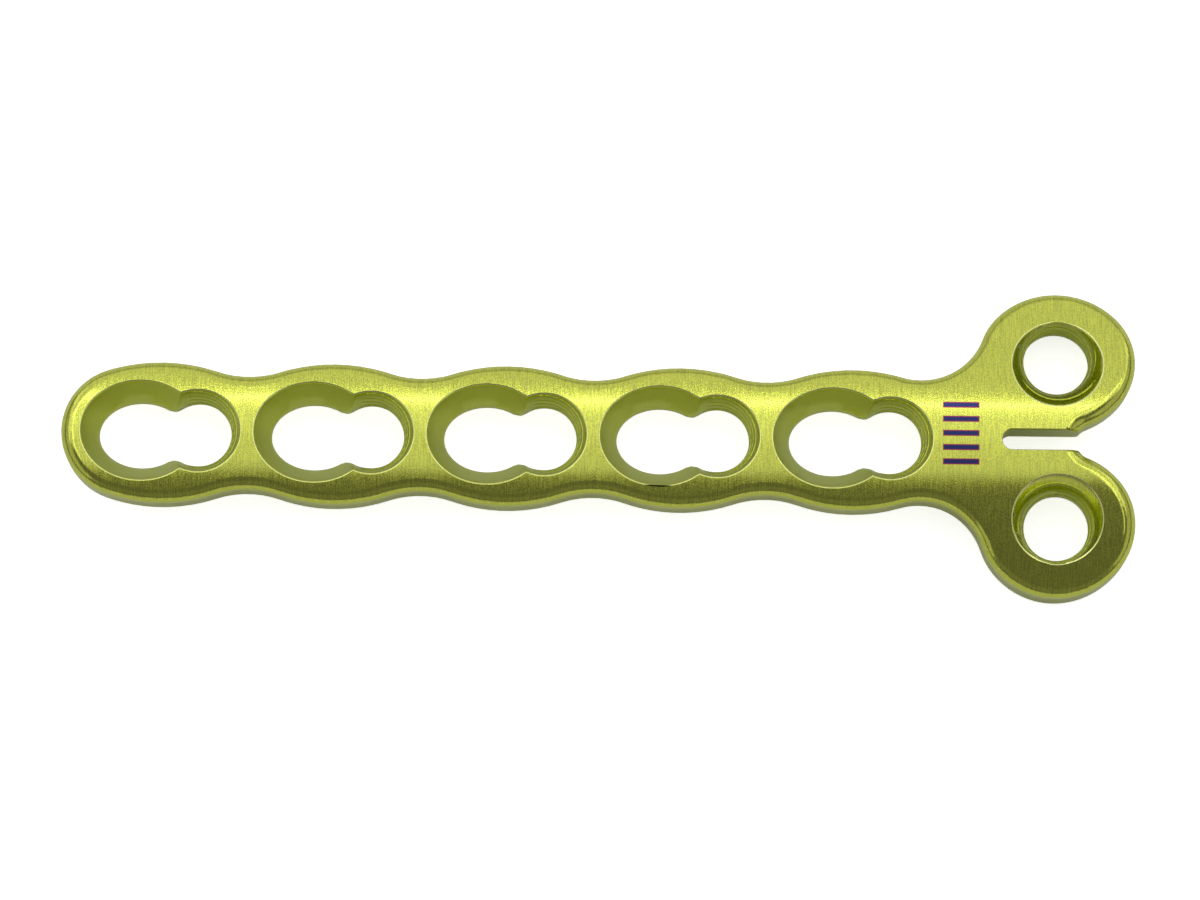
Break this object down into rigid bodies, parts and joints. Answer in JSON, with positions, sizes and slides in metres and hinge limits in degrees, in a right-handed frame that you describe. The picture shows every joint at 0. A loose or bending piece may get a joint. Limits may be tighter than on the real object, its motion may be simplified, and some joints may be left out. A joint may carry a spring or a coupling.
{
  "type": "orthopedic bone plate",
  "caption": "Slim arched bone plate with scalloped edges, a row of combination screw holes along the shaft and a forked head with a locking hole in each round lobe.",
  "frame": {"origin": "middle of the bounding box in plan, at the height of the lowest points of the underside", "axes": "+X along the plate towards the forked head, +Y across it, +Z out of the crown, away from the bone"},
  "size_m": [0.0808, 0.0232, 0.0061],
  "materials": {
    "anodised_titanium": "titanium alloy, anodised yellow-green, with a satin sheen and fine brush lines across the plate"
  },
  "bodies": {
    "root": {"bone_plate": "anodised_titanium"}
  },
  "joints": []
}
